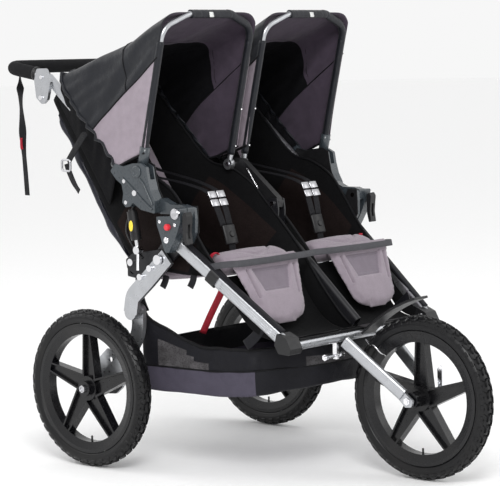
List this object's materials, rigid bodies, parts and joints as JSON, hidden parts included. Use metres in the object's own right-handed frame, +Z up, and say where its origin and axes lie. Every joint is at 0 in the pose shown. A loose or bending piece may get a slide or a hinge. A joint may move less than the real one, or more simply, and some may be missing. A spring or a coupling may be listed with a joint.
{
  "type": "jogging stroller",
  "caption": "Side-by-side jogging stroller with folding tube frame, sprung rear arms, knobbly air tyres, reclined padded seats, bow canopies and an under-seat basket.",
  "frame": {"origin": "on the ground under the middle of the object's width and length", "axes": "+Z up, -Y forward (direction of travel), +X to the stroller's left-hand side, mirror plane X = 0"},
  "size_m": [0.772, 1.2897, 1.143],
  "materials": {
    "tyre_rubber": "matt black knobbly tread rubber",
    "wheel_plastic": "moulded black glass-filled nylon",
    "tube_rubber": "butyl rubber",
    "silver_tube": "satin anodised silver",
    "black_tube": "black powder coat",
    "grey_plastic": "cool grey glass-filled nylon",
    "black_plastic": "black nylon",
    "chrome": "bright plated steel",
    "steel": "zinc plated steel",
    "black_fabric": "black coated pack cloth",
    "mauve_fabric": "mauve-grey twill",
    "mesh_fabric": "dark stretch mesh",
    "webbing": "black nylon webbing",
    "red_webbing": "red nylon webbing",
    "red_plastic": "red moulded plastic",
    "foam": "closed-cell foam"
  },
  "bodies": {
    "lower_frame": {"side_rails": "silver_tube", "front_crossbar": "silver_tube", "frame_elbows": "black_plastic", "fork_arms": "silver_tube", "front_axle": "chrome", "lower_hinge_brackets": "grey_plastic", "fold_pins": "chrome", "rear_cross_tube": "black_tube", "centre_rail": "black_tube", "rail_clamps": "black_plastic", "front_fender": "black_plastic", "footrest_strip": "black_plastic", "frame_fasteners": "chrome", "seat_pad_right": "mauve_fabric", "seat_pad_left": "mauve_fabric", "calf_flaps": "mauve_fabric", "footwell_fabric": "black_fabric", "cross_strap": "webbing", "basket_tub": "mauve_fabric", "basket_mesh": "mesh_fabric", "fold_strap": "red_webbing", "harness_right": "webbing", "harness_left": "webbing"},
    "wheel_front_body": {"tyre_front": "tyre_rubber", "wheel_front": "wheel_plastic", "inner_tube_front": "tube_rubber"},
    "wheel_rear_right_body": {"tyre_rear_right": "tyre_rubber", "wheel_rear_right": "wheel_plastic", "inner_tube_rear_right": "tube_rubber"},
    "wheel_rear_left_body": {"tyre_rear_left": "tyre_rubber", "wheel_rear_left": "wheel_plastic", "inner_tube_rear_left": "tube_rubber"},
    "rear_frame": {"swing_arms": "silver_tube", "pivot_plates": "black_tube", "pivot_bolts": "chrome", "axle_plates": "grey_plastic", "rear_axle": "steel", "shock_rods": "chrome"},
    "shock_right": {"shock_body_right": "black_plastic"},
    "shock_left": {"shock_body_left": "black_plastic"},
    "brake": {"brake_pedal": "black_tube"},
    "upper_frame": {"upper_tubes": "silver_tube", "handlebar_tube": "silver_tube", "foam_grip": "foam", "handle_gussets": "silver_tube", "upper_bolts": "chrome", "upper_hinge_arms": "grey_plastic", "centre_arm": "black_plastic", "wrist_strap": "webbing"},
    "back_right": {"seat_back_right": "black_fabric"},
    "back_left": {"seat_back_left": "black_fabric"},
    "canopy_right": {"canopy_bow_right": "silver_tube", "canopy_hood_right": "black_fabric"},
    "canopy_left": {"canopy_bow_left": "silver_tube", "canopy_hood_left": "black_fabric"},
    "button_right": {"fold_button_right": "red_plastic"},
    "button_left": {"fold_button_left": "red_plastic"},
    "lever_right": {"release_lever_right": "black_plastic"},
    "lever_left": {"release_lever_left": "black_plastic"},
    "quick_release": {"quick_release_lever": "chrome"}
  },
  "joints": [
    {"name": "frame_fold", "type": "hinge", "parent": "lower_frame", "child": "upper_frame", "pos_m": [0, 0.00375, 0.655], "axis": [1, 0, 0], "range_deg": [0, 150]},
    {"name": "canopy_fold_right", "type": "hinge", "parent": "upper_frame", "child": "canopy_right", "pos_m": [-0.191, 0.13675, 0.752], "axis": [-1, 0, 0], "range_deg": [0, 60], "deforming": ["canopy_hood_right"]},
    {"name": "canopy_fold_left", "type": "hinge", "parent": "upper_frame", "child": "canopy_left", "pos_m": [0.191, 0.13675, 0.752], "axis": [-1, 0, 0], "range_deg": [0, 60], "deforming": ["canopy_hood_left"]},
    {"name": "back_fold_right", "type": "hinge", "parent": "lower_frame", "child": "back_right", "pos_m": [-0.175, 0.19875, 0.505], "axis": [1, 0, 0], "range_deg": [0, 90], "deforming": ["harness_right"]},
    {"name": "back_fold_left", "type": "hinge", "parent": "lower_frame", "child": "back_left", "pos_m": [0.175, 0.19875, 0.505], "axis": [1, 0, 0], "range_deg": [0, 90], "deforming": ["harness_left"]},
    {"name": "rear_fold", "type": "hinge", "parent": "lower_frame", "child": "rear_frame", "pos_m": [0, 0.09475, 0.537], "axis": [-1, 0, 0], "range_deg": [0, 65]},
    {"name": "front_wheel_spin", "type": "hinge", "parent": "lower_frame", "child": "wheel_front_body", "pos_m": [0, -0.44325, 0.2], "axis": [1, 0, 0], "continuous": true},
    {"name": "rear_right_wheel_spin", "type": "hinge", "parent": "rear_frame", "child": "wheel_rear_right_body", "pos_m": [-0.35, 0.33275, 0.2], "axis": [1, 0, 0], "continuous": true},
    {"name": "rear_left_wheel_spin", "type": "hinge", "parent": "rear_frame", "child": "wheel_rear_left_body", "pos_m": [0.35, 0.33275, 0.2], "axis": [1, 0, 0], "continuous": true},
    {"name": "shock_travel_right", "type": "slide", "parent": "rear_frame", "child": "shock_right", "axis": [0, -0.1831, -0.9831], "range_m": [0, 0.012], "stiffness_N_per_m": 3000},
    {"name": "shock_travel_left", "type": "slide", "parent": "rear_frame", "child": "shock_left", "axis": [0, -0.1831, -0.9831], "range_m": [0, 0.012], "stiffness_N_per_m": 3000},
    {"name": "brake_press", "type": "hinge", "parent": "rear_frame", "child": "brake", "pos_m": [0, 0.33275, 0.2], "axis": [-1, 0, 0], "range_deg": [0, 25]},
    {"name": "fold_button_press_right", "type": "slide", "parent": "lower_frame", "child": "button_right", "axis": [1, 0, 0], "range_m": [0, 0.003], "stiffness_N_per_m": 400},
    {"name": "fold_button_press_left", "type": "slide", "parent": "lower_frame", "child": "button_left", "axis": [-1, 0, 0], "range_m": [0, 0.003], "stiffness_N_per_m": 400},
    {"name": "release_lever_pull_right", "type": "hinge", "parent": "lower_frame", "child": "lever_right", "pos_m": [-0.365, -0.02125, 0.652], "axis": [-1, 0, 0], "range_deg": [0, 25], "stiffness_Nm_per_rad": 0.6},
    {"name": "release_lever_pull_left", "type": "hinge", "parent": "lower_frame", "child": "lever_left", "pos_m": [0.365, -0.02125, 0.652], "axis": [-1, 0, 0], "range_deg": [0, 25], "stiffness_Nm_per_rad": 0.6},
    {"name": "quick_release_turn", "type": "hinge", "parent": "lower_frame", "child": "quick_release", "pos_m": [0.076, -0.44325, 0.2], "axis": [0, 1, 0], "range_deg": [0, 170]}
  ],
  "couplings": [
    {"joint": "canopy_fold_right", "follows": "frame_fold", "ratio": 0.4},
    {"joint": "canopy_fold_left", "follows": "frame_fold", "ratio": 0.4},
    {"joint": "back_fold_right", "follows": "frame_fold", "ratio": 0.6},
    {"joint": "back_fold_left", "follows": "frame_fold", "ratio": 0.6}
  ]
}
